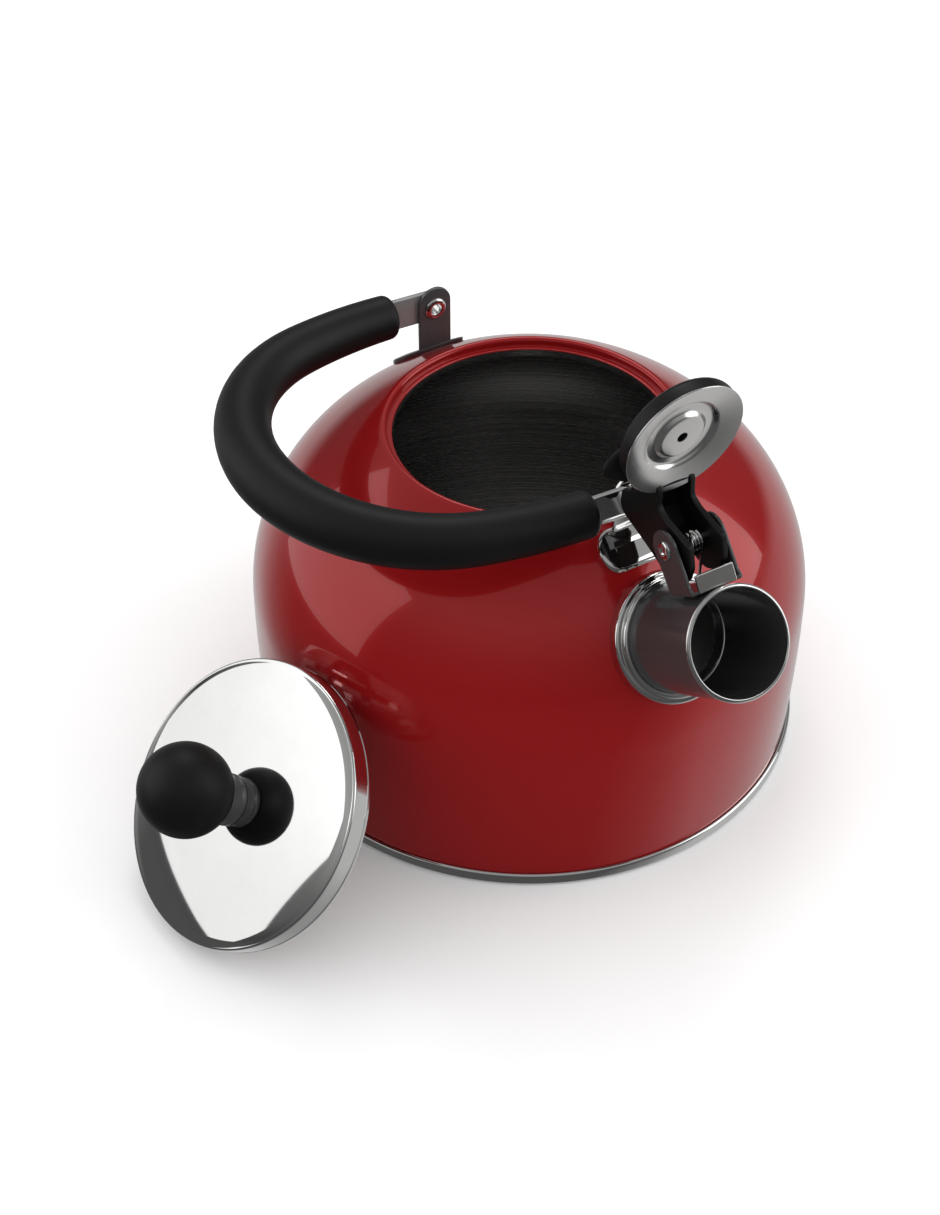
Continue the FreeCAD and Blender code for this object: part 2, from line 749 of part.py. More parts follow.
def make_handle():
    """Steel strap bent to a bow, and the moulded grip around it."""
    half = val("strap_thickness") / 2
    span, length = val("handle_half_span"), val("tongue_length")
    end_round = val("strap_width") / 2
    outside, inside = handle_wire(half), handle_wire(-half)
    tails = [
        Part.LineSegment(Vector(span + half, length, 0), Vector(span + half, -end_round, 0)),
        Part.LineSegment(Vector(span + half, -end_round, 0), Vector(span - half, -end_round, 0)),
        Part.LineSegment(Vector(span - half, -end_round, 0), Vector(span - half, length, 0)),
        Part.LineSegment(Vector(-span - half, length, 0), Vector(-span - half, -end_round, 0)),
        Part.LineSegment(Vector(-span - half, -end_round, 0), Vector(-span + half, -end_round, 0)),
        Part.LineSegment(Vector(-span + half, -end_round, 0), Vector(-span + half, length, 0)),
    ]
    edges = outside + inside + [tail.toShape() for tail in tails]
    band = Part.Face(Part.Wire(Part.__sortEdges__(edges)))
    width = val("strap_width")
    band.translate(Vector(0, 0, -width / 2))
    strip = band.extrude(Vector(0, 0, width))
    # Round the two ends about the rivets and drill them.
    across = Vector(1, 0, 0)
    reach = 2 * span + 20
    keep = Part.makeCylinder(end_round, reach, Vector(-reach / 2, 0, 0), across)
    corner = Vector(-reach / 2, -end_round - 10, -width / 2 - 1)
    square = Part.makeBox(reach, end_round + 10, width + 2, corner)
    strip = strip.cut(square.cut(keep))
    drill = val("rivet_radius + rivet_clearance")
    strip = strip.cut(Part.makeCylinder(drill, reach, Vector(-reach / 2, 0, 0), across))
    strap = doc.addObject("Part::Feature", "handle_strap_bent")
    strap.Shape = strip
    strap.Placement = HANDLE
    subpart(strap, "handle_strap")

    path = Part.Wire(Part.__sortEdges__(handle_wire(0)))
    start, bow = handle_points()[0], handle_points()[-1]
    thin, thick = val("grip_end_radius"), val("grip_middle_radius")
    sections = [
        Part.Wire(Part.makeCircle(thin, start, Vector(0, 1, 0))),
        Part.Wire(Part.makeCircle(thick, bow, Vector(-1, 0, 0))),
        Part.Wire(Part.makeCircle(thin, mirrored(start), Vector(0, -1, 0))),
    ]
    pipe = Part.BRepOffsetAPI.MakePipeShell(path)
    pipe.setFrenetMode(True)
    for section in sections:
        pipe.add(section)
    pipe.build()
    pipe.makeSolid()
    tube = pipe.shape()
    ends = [edge for edge in tube.Edges
            if abs(edge.BoundBox.YMax - start.y) < 0.01 and abs(edge.BoundBox.YMin - start.y) < 0.01]
    grip_body = tube.makeFillet(val("grip_end_round"), ends)
    grip = doc.addObject("Part::Feature", "handle_grip_moulded")
    grip.Shape = grip_body.cut(strip)
    grip.Placement = HANDLE
    subpart(grip, "handle_grip")


def make_handle_bracket(side, label):
    """Pressed steel bracket: an upright lug, bent out at its foot onto the dome."""
    shift = val("handle_shift")
    gap = val("handle_half_span - strap_thickness / 2 - lug_gap")
    outer_face = shift + side * gap
    inner_face = outer_face - side * val("lug_sheet")
    # The foot is the part of a thin layer over the dome that lies under a stadium.
    half_long, half_wide = "lug_foot_length / 2", "lug_foot_width / 2"
    straight = f"({half_long} - {half_wide})"
    stadium = padded(
        f"{label}_stadium",
        "XY_Plane",
        [
            (half_wide, f"-{straight}"),
            (half_wide, straight, half_wide),
            (f"-{half_wide}", straight),
            (f"-{half_wide}", f"-{straight}", half_wide),
        ],
        "60",
        (),
        Placement(
            Vector(inner_face + side * (val("lug_foot_width") / 2 - 0.4), 0, 90), Rotation()
        ),
    )
    foot = common(f"{label}_foot", stadium, dome_layer(f"{label}_layer", "lug_sheet", "0"))
    lower = 110.0
    rise = val("pivot_height") - lower
    top = val("lug_top")
    half = val("lug_width") / 2
    upright = padded(
        f"{label}_upright",
        "YZ_Plane",
        [
            ("-lug_width / 2", "0"),
            ("lug_width / 2", "0"),
            ("lug_width / 2", f"{rise + top - half}", "lug_width / 2"),
            ("-lug_width / 2", f"{rise + top - half}"),
        ],
        "lug_sheet",
        [("0", f"{rise}", "rivet_radius + rivet_clearance")],
        Placement(Vector(min(inner_face, outer_face), 0, lower), Rotation()),
    )
    above = cut(f"{label}_above", upright, DOME)
    subpart(fused(f"{label}_joined", above, foot), label)


def make_handle_rivet(side, label):
    """Hollow rivet, rolled over on the inside of the bracket and headed outside."""
    shift = val("handle_shift")
    outward = Rotation(Vector(0, 1, 0), 90 * side)
    strap_out = val("handle_half_span + strap_thickness / 2")
    grip_length = "(strap_thickness + lug_sheet + lug_gap)"
    rivet = revolved(
        f"{label}_turned",
        [
            ("rivet_bore_radius", f"-{grip_length} - rivet_head_height - 0.04"),
            ("rivet_head_radius - 0.5", f"-{grip_length} - rivet_head_height - 0.04"),
            ("rivet_head_radius", f"-{grip_length} - rivet_head_height + 0.4"),
            ("rivet_head_radius", f"-{grip_length} - 0.04"),
            ("rivet_radius", f"-{grip_length} - 0.04"),
            ("rivet_radius", "0.04"),
            ("rivet_head_radius", "0.04"),
            ("rivet_head_radius", "rivet_head_height - 0.4"),
            ("rivet_head_radius - 0.5", "rivet_head_height"),
            ("rivet_bore_radius", "rivet_head_height"),
        ],
        Placement(Vector(shift + side * strap_out, 0, val("pivot_height")), outward),
    )
    subpart(rivet, label)


# ------------------------------------------------------------------ lid
LID_DOME = "((lid_radius^2 + lid_rise^2) / (2 * lid_rise))"


def lid_height(radius_text, inset="0"):
    """Height of the lid's dome, or of one inset below it, at a radius from its axis."""
    return (
        f"(lid_band + lid_rise - {LID_DOME} + sqrt(({LID_DOME} - {inset})^2 - ({radius_text})^2))"
    )


def make_lid():
    """Domed lid: shell, seat ring under it, knob on a steel stem, screw and washer."""
    shell = revolved(
        "lid_shell_pressed",
        [
            ("screw_radius + 0.1", lid_height("(screw_radius + 0.1)")),
            ("screw_radius + 0.1", lid_height("(screw_radius + 0.1)", "lid_sheet")),
            (
                "lid_radius - lid_edge_roll",
                lid_height("(lid_radius - lid_edge_roll)", "lid_sheet"),
            ),
            ("lid_radius - lid_sheet", "lid_band - 1.6"),
            ("lid_radius - lid_sheet", "0"),
            ("lid_radius", "0"),
            ("lid_radius", "1.1"),
            ("lid_radius - 0.35", "1.35"),
            ("lid_radius", "1.6"),
            ("lid_radius", "lid_band - 1.0", "1.5"),
            ("lid_radius - lid_edge_roll", lid_height("(lid_radius - lid_edge_roll)"), LID_DOME),
        ],
        LID,
    )
    subpart(shell, "lid_shell")
    ring = revolved(
        "lid_seat_ring_pressed",
        [
            ("lid_collar_radius - lid_sheet", "-lid_collar_depth"),
            ("lid_collar_radius", "-lid_collar_depth"),
            ("lid_collar_radius", "0"),
            ("lid_radius - lid_sheet - 0.02", "0"),
            ("lid_radius - lid_sheet - 0.02", "lid_sheet"),
            ("lid_collar_radius - lid_sheet", "lid_sheet"),
        ],
        LID,
    )
    subpart(ring, "lid_seat_ring")
    stem_top = "(knob_centre - sqrt(knob_radius^2 - stem_radius^2) + 0.6)"
    stem = revolved(
        "knob_stem_turned",
        [
            (
                "screw_radius + 0.1",
                f"{lid_height('(screw_radius + 0.1)')} + 0.02",
                f"-{LID_DOME}",
            ),
            ("stem_radius", f"{lid_height('stem_radius')} + 0.02"),
            ("stem_radius", f"{lid_height('stem_radius')} + 1.4"),
            ("stem_radius - 0.5", f"{lid_height('stem_radius')} + 1.9"),
            ("stem_radius - 0.5", f"{stem_top} - 2.4"),
            ("stem_radius", f"{stem_top} - 2.0"),
            ("stem_radius", stem_top),
            ("screw_radius + 0.1", stem_top),
        ],
        LID,
    )
    subpart(stem, "knob_stem")
    seat = f"({stem_top} + 0.02)"
    bore_top = "(knob_centre + 4)"
    knob = revolved(
        "lid_knob_moulded",
        [
            ("screw_radius + 0.02", seat),
            (f"sqrt(knob_radius^2 - (knob_centre - {seat})^2)", seat, "knob_radius"),
            ("knob_radius", "knob_centre", "knob_radius"),
            ("0", "knob_centre + knob_radius"),
            ("0", bore_top),
            ("screw_radius + 0.02", bore_top),
        ],
        LID,
    )
    subpart(knob, "lid_knob")
    underside = lid_height("(screw_radius + 0.1)", "lid_sheet")
    washer = revolved(
        "lid_washer_pressed",
        [
            ("screw_radius + 0.1", f"{underside} - washer_sheet"),
            ("washer_radius", f"{underside} - washer_sheet"),
            ("washer_radius", f"{lid_height('washer_radius', 'lid_sheet')} - 0.02"),
            ("screw_radius + 0.1", f"{underside} - 0.02"),
        ],
        LID,
    )
    subpart(washer, "lid_washer")
    head = f"({underside} - washer_sheet - 0.02)"
    screw = revolved(
        "knob_screw_turned",
        [
            ("0", f"{head} - 1.0"),
            ("1.0", f"{head} - screw_head_height"),
            ("screw_head_radius - 1.2", f"{head} - screw_head_height", "1.6"),
            ("screw_head_radius", f"{head} - 0.8"),
            ("screw_head_radius", head),
            ("screw_radius", head),
            ("screw_radius", f"{bore_top} - 0.4"),
            ("0", f"{bore_top} - 0.4"),
        ],
        LID,
    )
    subpart(screw, "knob_screw")


# ------------------------------------------------------------------ build, check, write
DOME = revolved(
    "dome_solid",
    [
        ("0", "body_foot_height"),
        ("body_radius", "body_foot_height"),
        ("body_radius", "wall_top_height", "shoulder_radius"),
        (SHOULDER_X, SHOULDER_Y, "crown_radius"),
        ("mouth_radius", crown_height("mouth_radius")),
        ("0", crown_height("mouth_radius")),
    ],
)
make_body_shell()
make_base_pan()
make_spout(DOME)
make_spout_bracket()
make_hinge_pin()
make_whistle_spring()
make_whistle_discs()
make_whistle_lever()
make_handle()
for direction, end in ((1, "front"), (-1, "rear")):
    make_handle_bracket(direction, f"{end}_handle_bracket")
    make_handle_rivet(direction, f"{end}_handle_rivet")
make_lid()
doc.recompute()

for item in doc.Objects:
    if "Invalid" in item.State or "Error" in item.State:
        raise RuntimeError(f"{item.Name} ({item.Label}) failed: {item.State}")
for item in SUBPARTS:
    if item.Shape.isNull() or not item.Shape.isValid():
        raise RuntimeError(f"{item.Label} has a null or invalid shape")
    solids = len(item.Shape.Solids)
    if solids != 1:
        raise RuntimeError(f"{item.Label} has {solids} solids")
for item in SUBPARTS:
    item.Shape.exportStep(f"parts/{item.Label}.step")
    box = item.Shape.BoundBox
    print(
        f"{item.Label:22s} volume {item.Shape.Volume:9.1f}"
        f"  x {box.XMin:7.1f} {box.XMax:7.1f}  y {box.YMin:7.1f} {box.YMax:7.1f}"
        f"  z {box.ZMin:7.1f} {box.ZMax:7.1f}"
    )
print("hinge pin at", PIN, "lid axis", LID_AXIS.multVec(Vector(0, 0, 1)))
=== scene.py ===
import math

import bmesh
import bpy
from mathutils import Matrix, Vector


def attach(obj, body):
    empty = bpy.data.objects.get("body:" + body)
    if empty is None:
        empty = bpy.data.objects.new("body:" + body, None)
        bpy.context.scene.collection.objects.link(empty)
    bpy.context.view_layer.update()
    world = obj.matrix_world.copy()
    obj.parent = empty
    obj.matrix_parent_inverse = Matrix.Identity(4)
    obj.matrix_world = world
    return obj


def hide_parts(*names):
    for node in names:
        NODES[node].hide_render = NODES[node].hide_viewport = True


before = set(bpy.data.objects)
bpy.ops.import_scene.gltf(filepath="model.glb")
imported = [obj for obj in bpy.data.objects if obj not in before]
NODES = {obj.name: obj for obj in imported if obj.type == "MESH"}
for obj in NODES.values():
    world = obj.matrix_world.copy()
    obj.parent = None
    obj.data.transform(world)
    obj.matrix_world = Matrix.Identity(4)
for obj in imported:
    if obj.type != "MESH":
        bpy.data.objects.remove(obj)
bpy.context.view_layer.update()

# Shapes are drawn in millimetres and degrees. Lights, floor, camera and materials are in metres.
MM = 0.001


# ------------------------------------------------------------------ frames of the assemblies
def moved(x, y, z):
    """Shift by millimetres."""
    return Matrix.Translation((x * MM, y * MM, z * MM))


def turned(axis, degrees):
    """Turn about a named axis."""
    return Matrix.Rotation(math.radians(degrees), 4, axis)


SPOUT_MOUTH_OUT = 124.1
SPOUT_MOUTH_HEIGHT = 119.9
SPOUT_TILT = 55.8
PIN_RISE = 33.95
PIN_SETBACK = 12.6
CAP_OPENING = 136
PIVOT_SHIFT = -3.1
PIVOT_HEIGHT = 136.3
HANDLE_SPAN = 65.7
HANDLE_RISE = 3
LID_AZIMUTH = math.radians(285)
LID_REACH = 134.9
LID_HEIGHT = 37.01
LID_YAW = 276
LID_LEAN = 48

HERE = Matrix()
# Spout frame: +Z out of the spout, -X towards its top.
SPOUT = moved(SPOUT_MOUTH_OUT, 0, SPOUT_MOUTH_HEIGHT) @ turned("Y", SPOUT_TILT)
PIN = SPOUT @ moved(-PIN_RISE, 0, -PIN_SETBACK)
PIN_PLACE = Matrix.Translation(PIN.translation)
WHISTLE = PIN_PLACE @ turned("Y", -CAP_OPENING) @ PIN_PLACE.inverted() @ SPOUT
# The handle frame is turned half round, so its +X is the rear pivot.
HANDLE = moved(PIVOT_SHIFT, 0, PIVOT_HEIGHT) @ turned("X", -HANDLE_RISE) @ turned("Z", 180)
LID = (
    moved(LID_REACH * math.cos(LID_AZIMUTH), LID_REACH * math.sin(LID_AZIMUTH), LID_HEIGHT)
    @ turned("Z", LID_YAW)
    @ turned("Y", LID_LEAN)
)
# Turns a side view drawn in X and Z so that the plate's thickness runs along Y.
SIDE = turned("X", 90)


# ------------------------------------------------------------------ materials
def material(name):
    """A new node material with its Principled shader."""
    made = bpy.data.materials.new(name)
    made.use_nodes = True
    tree = made.node_tree
    return made, tree, tree.nodes["Principled BSDF"]


def object_coordinates(tree, scale=(1, 1, 1)):
    """Object-space coordinates, stretched."""
    coordinates = tree.nodes.new("ShaderNodeTexCoord")
    mapping = tree.nodes.new("ShaderNodeMapping")
    mapping.inputs["Scale"].default_value = scale
    tree.links.new(coordinates.outputs["Object"], mapping.inputs["Vector"])
    return mapping.outputs["Vector"]


def noise(tree, vector, scale, detail=3.0, roughness=0.55):
    """Noise texture over a vector."""
    node = tree.nodes.new("ShaderNodeTexNoise")
    node.inputs["Scale"].default_value = scale
    node.inputs["Detail"].default_value = detail
    node.inputs["Roughness"].default_value = roughness
    tree.links.new(vector, node.inputs["Vector"])
    return node.outputs["Fac"]


def height_only(tree, vector):
    """Vector that keeps only Z, so a texture of it runs in rings around the axis."""
    split = tree.nodes.new("ShaderNodeSeparateXYZ")
    join = tree.nodes.new("ShaderNodeCombineXYZ")
    tree.links.new(vector, split.inputs["Vector"])
    tree.links.new(split.outputs["Z"], join.inputs["Z"])
    return join.outputs["Vector"]


def span(tree, value, low, high):
    """A 0..1 value spread over a range."""
    node = tree.nodes.new("ShaderNodeMapRange")
    node.inputs["To Min"].default_value = low
    node.inputs["To Max"].default_value = high
    tree.links.new(value, node.inputs["Value"])
    return node.outputs["Result"]


def tint(tree, value, dark, light):
    """Colour between two tones."""
    node = tree.nodes.new("ShaderNodeMixRGB")
    node.inputs["Color1"].default_value = (*dark, 1)
    node.inputs["Color2"].default_value = (*light, 1)
    tree.links.new(value, node.inputs["Fac"])
    return node.outputs["Color"]


def bump(tree, shader, height, distance, strength=1.0):
    """Surface relief from a height value."""
    node = tree.nodes.new("ShaderNodeBump")
    node.inputs["Distance"].default_value = distance
    node.inputs["Strength"].default_value = strength
    tree.links.new(height, node.inputs["Height"])
    tree.links.new(node.outputs["Normal"], shader.inputs["Normal"])


def enamel():
    """Glossy red lacquer over bright steel, with a faint unevenness."""
    made, tree, shader = material("red_lacquer")
    vector = object_coordinates(tree)
    cloud = noise(tree, vector, 9.0, detail=2.0)
    deep_red, light_red = (0.270, 0.0068, 0.0080), (0.300, 0.0080, 0.0095)
    tree.links.new(tint(tree, cloud, deep_red, light_red), shader.inputs["Base Color"])
    shader.inputs["Metallic"].default_value = 0.30
    tree.links.new(span(tree, cloud, low=0.15, high=0.20), shader.inputs["Roughness"])
    shader.inputs["IOR"].default_value = 1.35
    shader.inputs["Specular IOR Level"].default_value = 0.3
    shader.inputs["Coat Weight"].default_value = 0.9
    shader.inputs["Coat IOR"].default_value = 1.4
    shader.inputs["Coat Roughness"].default_value = 0.02
    waves = noise(tree, vector, 24.0, detail=1.0)
    bump(tree, shader, waves, distance=0.00003, strength=0.12)
    return made


def metal(
    name, colour, rough, grain, depth, stretch=(1, 1, 1), rings=False, low=0.86, metallic=1.0
):
    """Bare metal; its grain runs in rings around the piece's axis or along one direction."""
    made, tree, shader = material(name)
    vector = object_coordinates(tree, stretch)
    if rings:
        vector = height_only(tree, vector)
    streaks = noise(tree, vector, grain, detail=4.0, roughness=0.7)
    shader.inputs["Metallic"].default_value = metallic
    dark = [c * low for c in colour]
    tree.links.new(tint(tree, streaks, dark, colour), shader.inputs["Base Color"])
    tree.links.new(span(tree, streaks, *rough), shader.inputs["Roughness"])
    bump(tree, shader, streaks, depth)
    return made


def plastic(name, tone, rough, grain, depth):
    """Heat-proof black moulding with a fine matt texture."""
    cool, darker, smoother, rougher = 1.03, 0.8, 0.05, 0.07
    made, tree, shader = material(name)
    vector = object_coordinates(tree)
    broad = noise(tree, vector, 60.0, detail=2.0)
    light = (tone, tone, tone * cool)
    dark = [c * darker for c in light]
    tree.links.new(tint(tree, broad, dark, light), shader.inputs["Base Color"])
    worn = span(tree, broad, rough - smoother, rough + rougher)
    tree.links.new(worn, shader.inputs["Roughness"])
    shader.inputs["Specular IOR Level"].default_value = 0.3
    bump(tree, shader, noise(tree, vector, grain), depth)
    return made


RED = enamel()
CHROME = metal(
    "polished_chrome", (0.78, 0.78, 0.77), rough=(0.03, 0.06), grain=40.0, depth=0.000001
)
PLATED = metal(
    "plated_steel",
    (0.62, 0.61, 0.60),
    rough=(0.10, 0.16),
    grain=300.0,
    depth=0.000002,
    stretch=(1, 1, 0.05),
)
TUBE = metal(
    "drawn_steel",
    (0.075, 0.075, 0.077),
    rough=(0.14, 0.20),
    grain=160.0,
    depth=0.000001,
    stretch=(1, 1, 0.04),
    metallic=0.6,
)
INSIDE = metal(
    "turned_steel",
    (0.60, 0.59, 0.58),
    rough=(0.20, 0.34),
    grain=480.0,
    depth=0.00012,
    rings=True,
    low=0.35,
)
SATIN = metal("satin_disc", (0.80, 0.79, 0.78), rough=(0.17, 0.26), grain=160.0, depth=0.000004)
# Dark steel for the stem collar and inner disc; the rear handle bracket also takes it as painted
# shade, a darker copy of the front bracket's chrome.
DARK_STEEL_AND_SHADE = metal(
    "dark_steel_and_painted_shade",
    (0.11, 0.11, 0.115),
    rough=(0.24, 0.34),
    grain=260.0,
    depth=0.000001,
    metallic=0.55,
)
# Greyer copy of the strap's chrome: painted shade on the rear tongue, which lies on the far side.
SHADED_STRAP_STEEL = metal(
    "strap_steel_painted_shade",
    (0.34, 0.34, 0.34),
    rough=(0.24, 0.34),
    grain=260.0,
    depth=0.000001,
    metallic=0.5,
)
BLACK = plastic("black_moulding", tone=0.0035, rough=0.50, grain=1500.0, depth=0.00004)
LEVER = plastic("black_lever", tone=0.003, rough=0.45, grain=900.0, depth=0.00002)


# ------------------------------------------------------------------ shapes
# Edges that turn by more than this stay sharp: on round pieces, and on flat ones.
ROUND_CREASE = 38
FLAT_CREASE = 50
# Points closer together than this, in metres, become one.
WELD_DISTANCE = 0.000002
ON_THE_AXIS = 1e-6


def arc(x, y, radius, start, end, steps=12):
    """Points on an arc; the angles are in degrees."""
    turns = [math.radians(start + (end - start) * i / steps) for i in range(steps + 1)]
    return [(x + radius * math.cos(t), y + radius * math.sin(t)) for t in turns]


def circle(x, y, radius, count=24):
    """Points of a closed circle."""
    return arc(x, y, radius, 0, 360 - 360 / count, count - 1)


def rounded(points, radius, steps=4, closed=True):
    """The outline with each corner cut back to a smooth curve of about this radius."""
    most_of_a_run = 0.48
    made = []
    count = len(points)
    for i, point in enumerate(points):
        if not closed and i in (0, count - 1):
            made.append(point)
            continue
        here = Vector(point)
        before = Vector(points[i - 1]) - here
        after = Vector(points[(i + 1) % count]) - here
        reach = min(radius, before.length * most_of_a_run, after.length * most_of_a_run)
        start = here + before.normalized() * reach
        end = here + after.normalized() * reach
        for k in range(steps + 1):
            t = k / steps
            made.append(tuple(start * (1 - t) ** 2 + here * (2 * t * (1 - t)) + end * t**2))
    return made


def mesh_of(work, name):
    """A mesh with its faces outwards from a working mesh, which is given up."""
    bmesh.ops.recalc_face_normals(work, faces=work.faces)
    mesh = bpy.data.meshes.new(name)
    work.to_mesh(mesh)
    work.free()
    return mesh


def finish_mesh(name, mesh, matrix, looks, body, nodes=(), crease=ROUND_CREASE):
    """Put a mesh on the stage as one named piece of a body."""
    for look in looks if isinstance(looks, list) else [looks]:
        mesh.materials.append(look)
    mesh.shade_smooth()
    mesh.set_sharp_from_angle(angle=math.radians(crease))
    # These two bodies lie at a slant, so their pieces are kept as world-space meshes.
    if body in ("lid", "whistle"):
        mesh.transform(matrix)
        matrix = HERE
    piece = bpy.data.objects.new(name, mesh)
    bpy.context.scene.collection.objects.link(piece)
    piece.matrix_world = matrix
    if body:
        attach(piece, body)
    if nodes:
        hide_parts(*nodes)
    return piece


def lathe(name, profile, matrix, looks, body, nodes=(), second_from=None, steps=128):
    """Solid turned about the frame's Z from a closed outline of (radius, height) in mm.

    Faces from profile point second_from onwards take the second look.
    """
    work = bmesh.new()
    rings = []
    for radius, height in profile:
        if radius < ON_THE_AXIS:
            rings.append([work.verts.new((0, 0, height * MM))] * steps)
            continue
        ring = []
        for i in range(steps):
            turn = 2 * math.pi * i / steps
            x, y = radius * math.cos(turn), radius * math.sin(turn)
            ring.append(work.verts.new((x * MM, y * MM, height * MM)))
        rings.append(ring)
    for k, ring in enumerate(rings):
        other = rings[(k + 1) % len(rings)]
        for i in range(steps):
            j = (i + 1) % steps
            corners = list(dict.fromkeys((ring[i], ring[j], other[j], other[i])))
            if len(corners) < 3:
                continue
            face = work.faces.new(corners)
            face.material_index = int(second_from is not None and k >= second_from)
    return finish_mesh(name, mesh_of(work, name), matrix, looks, body, nodes)


def plate(name, outline, thick, matrix, look, body, nodes=(), holes=(), edge=0.25):
    """Flat piece drawn in X and Y with holes and softened edges, centred on its thickness."""
    curve = bpy.data.curves.new(name, "CURVE")
    curve.dimensions = "2D"
    curve.fill_mode = "BOTH"
    curve.extrude = (thick / 2 - edge) * MM
    curve.bevel_depth = edge * MM
    curve.bevel_resolution = 2
    curve.offset = -edge * MM
    loops = [outline] + [circle(x, y, radius) for x, y, radius in holes]
    for loop in loops:
        line = curve.splines.new("POLY")
        line.points.add(len(loop) - 1)
        for point, (x, y) in zip(line.points, loop):
            point.co = (x * MM, y * MM, 0, 1)
        line.use_cyclic_u = True
    drawn = bpy.data.objects.new(name, curve)
    mesh = bpy.data.meshes.new_from_object(drawn)
    bpy.data.objects.remove(drawn)
    bpy.data.curves.remove(curve)
    work = bmesh.new()
    work.from_mesh(mesh)
    bmesh.ops.remove_doubles(work, verts=work.verts, dist=WELD_DISTANCE)
    bmesh.ops.recalc_face_normals(work, faces=work.faces)
    work.to_mesh(mesh)
    work.free()
    mesh.materials.clear()
    piece = finish_mesh(name, mesh, matrix, look, body, nodes, FLAT_CREASE)
    piece.modifiers.new("flat_faces", "WEIGHTED_NORMAL").keep_sharp = True
    return piece


def carve(piece, tool):
    """Cut a tool out of a piece and throw the tool away."""
    boolean = piece.modifiers.new("carve", "BOOLEAN")
    boolean.operation = "DIFFERENCE"
    boolean.solver = "EXACT"
    boolean.object = tool
    graph = bpy.context.evaluated_depsgraph_get()
    mesh = bpy.data.meshes.new_from_object(piece.evaluated_get(graph))
    piece.modifiers.remove(boolean)
    piece.data = mesh
    bpy.data.objects.remove(tool)
    mesh.set_sharp_from_angle(angle=math.radians(ROUND_CREASE))


def sweep(name, path, radii, matrix, look, body, nodes=(), sides=48):
    """Round bar along a path in the frame's XY plane, capped at both ends."""
    work = bmesh.new()
    rings = []
    for k, (x, y) in enumerate(path):
        before, after = path[max(k - 1, 0)], path[min(k + 1, len(path) - 1)]
        along = (Vector(after) - Vector(before)).normalized()
        ring = []
        for i in range(sides):
            turn = 2 * math.pi * i / sides
            out, up = radii[k] * math.cos(turn), radii[k] * math.sin(turn)
            corner = ((x + along.y * out) * MM, (y - along.x * out) * MM, up * MM)
            ring.append(work.verts.new(corner))
        rings.append(ring)
    for ring, other in zip(rings, rings[1:]):
        for i in range(sides):
            j = (i + 1) % sides
            work.faces.new((ring[i], ring[j], other[j], other[i]))
    work.faces.new(rings[0])
    work.faces.new(rings[-1])
    return finish_mesh(name, mesh_of(work, name), matrix, look, body, nodes)


# ------------------------------------------------------------------ kettle body
# Foot to widest point of the wall, as (radius, height).
BARREL = ((97.9, 2.2), (98.65, 14), (99.35, 28), (99.8, 39), (100, 48))
BODY_FOOT = 2.2
# The dome is two arcs, each with its centre's radius and height, and its own radius.
SHOULDER = (31.0, 58.7, 69.0)
CROWN = (2.30, 28.24, 110.85)
SHOULDER_SWEEP = 46.7
CROWN_REACH = 78.3
SHEET = 1.0
MOUTH_EDGE = 51.9
MOUTH_EDGE_INSIDE = 52.2
SEAT_WALL = 50.3
SEAT = 124.38
NECK_RADIUS = 48.4
NECK_DEPTH = 3
PORT_RADIUS = 17.9
# Segments round the large turned pieces, and round the small ones.
FINE = 256
SMALL = 48


def dome_height(radius, lift=0.0):
    """Height of the dome's outside at a radius, lifted off it."""
    x, y, size = CROWN if radius < CROWN_REACH else SHOULDER
    return y + math.sqrt((size + lift) ** 2 - (radius - x) ** 2)


def dome_line(inset, edge_radius):
    """Body outline from foot to mouth, inset from the outer skin."""
    x, y, size = CROWN
    end = math.degrees(math.acos((edge_radius - x) / (size - inset)))
    line = [(radius - inset, height) for radius, height in BARREL]
    line += arc(SHOULDER[0], SHOULDER[1], SHOULDER[2] - inset, 0, SHOULDER_SWEEP, 28)
    return line + arc(x, y, size - inset, SHOULDER_SWEEP, end, 18)[1:]


def make_body():
    """Red shell with its stepped lid seat and spout port, and the plated pan under it."""
    outside = dome_line(0, MOUTH_EDGE)
    edge_height = outside[-1][1]
    roll = [(51.3, edge_height - 0.02), (50.75, edge_height - 0.3), (50.42, edge_height - 0.75)]
    neck_foot = SEAT - NECK_DEPTH
    seat = [(SEAT_WALL, edge_height - 1.3), (SEAT_WALL, SEAT), (NECK_RADIUS, SEAT)]
    seat = rounded(seat + [(NECK_RADIUS, neck_foot)], 0.45, closed=False)
    inside = dome_line(SHEET, MOUTH_EDGE_INSIDE)[::-1]
    neck_back, seat_back = NECK_RADIUS + SHEET, SEAT_WALL + SHEET
    under = [(neck_back, neck_foot), (neck_back, SEAT - SHEET), (seat_back, SEAT - SHEET)]
    under += [(seat_back, inside[0][1] - 0.8)]
    profile = outside + roll + seat + under + inside
    steel_from = len(outside) + len(roll) + len(seat) - 2
    looks = [RED, INSIDE]
    shell = lathe(
        "body_shell_skin", profile, HERE, looks, "kettle_body", ["body_shell"], steel_from, FINE
    )
    port = [(0, -70), (PORT_RADIUS, -70), (PORT_RADIUS, -10), (0, -10)]
    carve(shell, lathe("port", port, SPOUT, INSIDE, None))
    # Underside from the middle out, up round the rim, and back over the inner face.
    pan = [(0, 1.0), (86, 1.0), (88, 0), (97.8, 0)]
    pan += arc(97.8, 1.6, 1.6, -80, 0, 8)
    pan += arc(98.3, 3.9, 1.1, 0, 85, 8)
    inner_face = [(98.2, 1.6), (88, 1.6), (86, 2.0), (0, 2.0)]
    pan_looks, steel_from = [CHROME, INSIDE], len(pan)
    pan += inner_face
    lathe("base_pan_turned", pan, HERE, pan_looks, "kettle_body", ["base_pan"], steel_from, FINE)


def dome_tool(name):
    """Solid as large as the body's outside, for cutting the spout's pieces to it."""
    axis_hole = 20
    outline = [(0, BODY_FOOT)] + dome_line(0, axis_hole) + [(0, dome_height(axis_hole))]
    return lathe(name, outline, HERE, INSIDE, None, steps=FINE)


TUBE_BORE = 17.7
TUBE_SKIN = 18.6
COLLAR_BORE = 18.62
